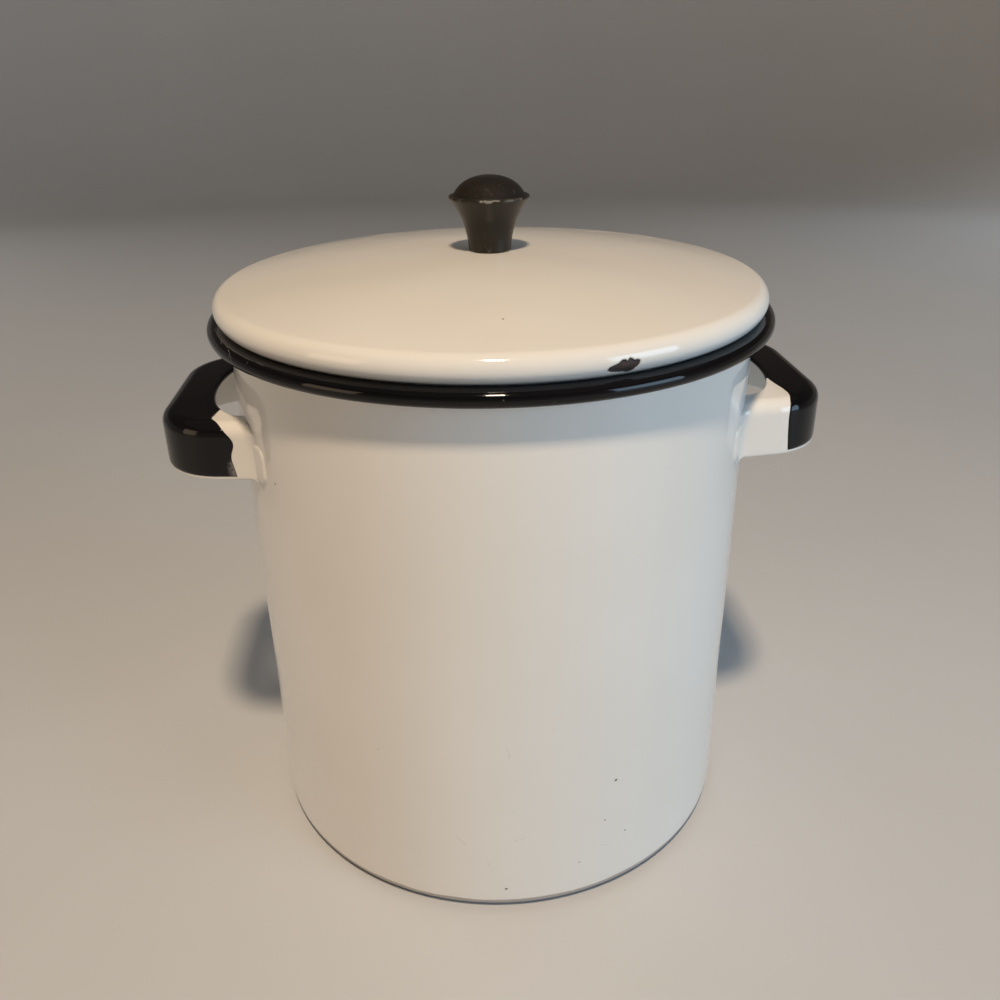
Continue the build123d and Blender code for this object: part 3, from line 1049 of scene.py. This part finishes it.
def buildKnob():
    z, lipR = knobLow.z, knobHigh.x
    lip, cap, top = z + knob["lipHeight"], knob["cap"], knobHigh.z
    (softRise, baseR), (flareRise, flareR) = knob["flare"][1], knob["flare"][-1]
    soft, baseR = softRise * mm, baseR * mm
    heights = [softRise + (flareRise - softRise) * i / 44 for i in range(45)]
    profile = joinRuns(
        [(0, z)],
        lineRun((2.0 * mm, z), (baseR - soft, z), 5),
        arcRun((baseR - soft, z + soft), soft, -90, -6, 5),
        [(curveThrough(knob["flare"], h) * mm, z + h * mm) for h in heights],
        bendRun((flareR * mm, z + flareRise * mm), (lipR, lip - 0.1 * mm), (lipR, lip + 0.25 * mm),
                (lipR - 0.45 * mm, lip + 0.45 * mm), 6),
        bendRun((lipR - 0.45 * mm, lip + 0.45 * mm), (lipR - 0.9 * mm, lip + 0.6 * mm),
                (cap + 0.5 * mm, lip + 0.75 * mm), (cap + 0.3 * mm, lip + 0.5 * mm), 5),
        bendRun((cap + 0.3 * mm, lip + 0.5 * mm), (cap + 0.1 * mm, lip + 0.45 * mm),
                (cap - 0.1 * mm, lip + 0.7 * mm), (cap - 0.3 * mm, lip + 1.1 * mm), 5),
        bendRun((cap - 0.3 * mm, lip + 1.1 * mm), (cap - 2.9 * mm, top - 2.9 * mm),
                (7.4 * mm, top), (0.6 * mm, top), 24),
        [(0, top)],
    )
    return lathe("knob_turned", profile, evenAngles(144))


def knobPoint(angleDeg, r, rise):  # in mm
    return polar(angleDeg, r * mm, knobLow.z + rise * mm)


def knobFinish():
    finish, tree, shader, place = newFinish("worn dark paint of the knob")
    rise = minus(tree, heightOf(tree, place), knobLow.z)
    drawn = vectorCalc(tree, "MULTIPLY", place, (60.0, 60.0, 2600.0))
    turned = cloud(tree, drawn, 1.0, 3.0, 0.5)  # tool marks round the knob
    blotch = cloud(tree, place, 130.0, 4.0, 0.6)
    colour = tint(tree, between(tree, blotch, 0.35, 0.65), knob["paint"], knob["paintWarm"])
    lip = knob["lipHeight"]
    onCap = between(tree, rise, lip + 0.3 * mm, lip + 1.0 * mm)
    colour = tint(tree, onCap, colour, knob["capPaint"])
    grain = cloud(tree, place, 1100.0, 4.0, 0.7)
    speckle = times(tree, between(tree, grain, 0.58, 0.72), timesPlus(tree, onCap, 0.5, 0.06))
    nicks = useGroup(tree, pinholes, place, Spacing=560.0, Size=0.26, Share=0.16)["Mask"]
    speckle = most(tree, speckle, times(tree, nicks, times(tree, onCap, 0.6)))
    colour = tint(tree, speckle, colour, knob["wood"])
    lipEdge = times(tree, between(tree, rise, lip - 0.9 * mm, lip - 0.2 * mm),
                    between(tree, rise, lip + 0.7 * mm, lip + 0.3 * mm))
    lipWear = times(tree, lipEdge, between(tree, blotch, 0.5, 0.7))
    front = drawnMarks(tree, place, strokesOn(knobPoint, knob["lipMarks"]), reach=1.1 * mm)
    scratches = drawnMarks(tree, place, strokesOn(knobPoint, knob["scratches"]), reach=0.5 * mm)
    worn = most(tree, times(tree, front, 0.8), times(tree, lipWear, 0.35))
    worn = most(tree, worn, times(tree, scratches, 0.5))
    worn = times(tree, worn, between(tree, grain, 0.3, 0.5))
    colour = tint(tree, worn, colour, knob["worn"])
    rubbed = useGroup(tree, rubs, place, Stretch=(420.0, 420.0, 30.0), Amount=0.7)["Mask"]
    colour = tint(tree, times(tree, rubbed, 0.08), colour, knob["worn"])
    rough = timesPlus(tree, blotch, 0.2, timesPlus(tree, onCap, 0.4, 0.26))
    rough = timesPlus(tree, worn, 0.2, rough)
    feedAll(tree, shader, {"Base Color": colour, "Roughness": rough, "IOR": 1.36})
    feedAll(tree, shader, {"Sheen Weight": 0.06, "Sheen Roughness": 0.35})
    height = timesPlus(tree, turned, 0.5, times(tree, grain, 0.5))
    addBump(tree, shader, minus(tree, height, speckle), 0.06 * mm, 0.8)
    return finish


knobPiece = buildKnob()
knobPiece.data.materials.append(knobFinish())
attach(knobPiece, "lid")
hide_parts("knob")
print("knob turned")


# screw and washer keep their solids and get a steel finish

steel = dict(clean=rgb(0.50, 0.50, 0.51), dull=rgb(0.30, 0.285, 0.265), tea=rgb(0.19, 0.11, 0.06))


def steelFinish():
    finish, tree, shader, place = newFinish("dull plated steel")
    stain = cloud(tree, place, 420.0, 5.0, 0.65)
    colour = tint(tree, between(tree, stain, 0.4, 0.62), steel["clean"], steel["dull"])
    rust = between(tree, stain, 0.62, 0.74)
    colour = tint(tree, times(tree, rust, 0.7), colour, steel["tea"])
    drawn = useGroup(tree, rubs, place, Stretch=(2600.0, 240.0, 2600.0), Amount=0.8)["Mask"]
    feedAll(tree, shader, {
        "Base Color": tint(tree, times(tree, drawn, 0.3), colour, steel["clean"]),
        "Metallic": minus(tree, 1.0, times(tree, rust, 0.6)),
        "Roughness": timesPlus(tree, stain, 0.3, 0.18),
    })
    addBump(tree, shader, minus(tree, stain, drawn), 0.03 * mm, 0.6)
    return finish


plated = steelFinish()
for name in ("knob_screw", "knob_washer"):
    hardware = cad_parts[name]
    hardware.data.materials.clear()
    hardware.data.materials.append(plated)
print("screw and washer plated")


# floor that sweeps up into a backdrop all round

floor = dict(
    flat=2.1,
    sweep=0.6,
    wall=2.6,
    colour=rgb(0.58, 0.60, 0.63),
    cloudy=rgb(0.555, 0.575, 0.605),
    high=rgb(0.11, 0.11, 0.115),  # the backdrop darkens upwards
)


def buildFloor():
    out = floor["flat"] + floor["sweep"]
    profile = [(0, 0)] + lineRun((0.2, 0), (floor["flat"], 0), 8)
    profile += arcRun((floor["flat"], floor["sweep"]), floor["sweep"], -90, 0, 16)[1:]
    profile += [(out, floor["wall"]), (out + 0.05, floor["wall"]), (out + 0.05, -0.05), (0, -0.05)]
    ground = lathe("studio_floor", profile, evenAngles(96))
    finish, tree, shader, place = newFinish("matt studio floor")
    patch = cloud(tree, place, 1.6, 3.0)
    pale = tint(tree, between(tree, patch, 0.3, 0.7), floor["colour"], floor["cloudy"])
    darker = between(tree, heightOf(tree, place), 0.5, 1.15)
    feedAll(tree, shader, {"Base Color": tint(tree, darker, pale, floor["high"]), "Roughness": 0.55})
    ground.data.materials.append(finish)


buildFloor()


# light: a small warm lamp high in front, a cool window on the right, soft cards on the left and behind

lamps = [  # name, place, size, power, colour, spread in degrees, whether reflections show it
    ("high_lamp", (-0.03, -0.80, 1.74), (0.15, 0.15), 25.5, (1.0, 0.78, 0.55), 180, True),
    ("right_window", (1.4, -1.0, 0.48), (0.9, 0.9), 5.8, (0.52, 0.77, 1.0), 120, True),
    ("left_card", (-1.55, -0.75, 0.5), (0.7, 0.9), 1.6, (1.0, 0.74, 0.50), 120, True),
    ("back_right_fill", (1.9, 1.5, 0.62), (1.2, 0.8), 5.4, (0.90, 0.96, 1.0), 120, False),
    ("back_left_fill", (-1.9, 1.5, 0.62), (1.2, 0.8), 5.4, (1.0, 0.92, 0.82), 120, False),
]
aim = Vector((0, 0, 0.16))
for name, place, size, power, colour, spread, isMirrored in lamps:
    light = bpy.data.lights.new(name, "AREA")
    light.shape = "RECTANGLE"
    light.size, light.size_y = size
    light.energy, light.color, light.spread = power, colour, radians(spread)
    holder = bpy.data.objects.new(name, light)
    holder.location = place
    holder.rotation_euler = (aim - holder.location).to_track_quat("-Z", "Y").to_euler()
    holder.visible_camera, holder.visible_glossy = False, isMirrored
    scene.collection.objects.link(holder)

sky = bpy.data.worlds.new("studio_air")
sky.use_nodes = True
sky.node_tree.nodes["Background"].inputs[0].default_value = rgb(0.93, 0.95, 1.0)
sky.node_tree.nodes["Background"].inputs[1].default_value = 0.06
scene.world = sky
scene.view_settings.view_transform = "Standard"
print("studio lit")


# camera at the photograph's place, worked out from the outlines of the pot

view = dict(
    place=(2.68 * mm, -444.26 * mm, 376.68 * mm),  # before the pot's own turn
    pitch=26.09,  # degrees down
    roll=-0.95,  # degrees
    turn=4.0,  # degrees that the pot is turned on its axis
    lens=34.13,
    sensor=36.0,
)


def buildCamera():
    lens = bpy.data.cameras.new("photo_view")
    lens.lens, lens.sensor_width = view["lens"], view["sensor"]
    lens.clip_start, lens.clip_end = 0.01, 20
    eye = bpy.data.objects.new("photo_view", lens)
    scene.collection.objects.link(eye)
    turn = Matrix.Rotation(radians(-view["turn"]), 4, "Z")
    pitch = Matrix.Rotation(radians(90 - view["pitch"]), 4, "X")
    roll = Matrix.Rotation(radians(view["roll"]), 4, "Z")
    eye.matrix_world = turn @ Matrix.Translation(view["place"]) @ pitch @ roll
    scene.camera = eye


buildCamera()
print("camera placed")
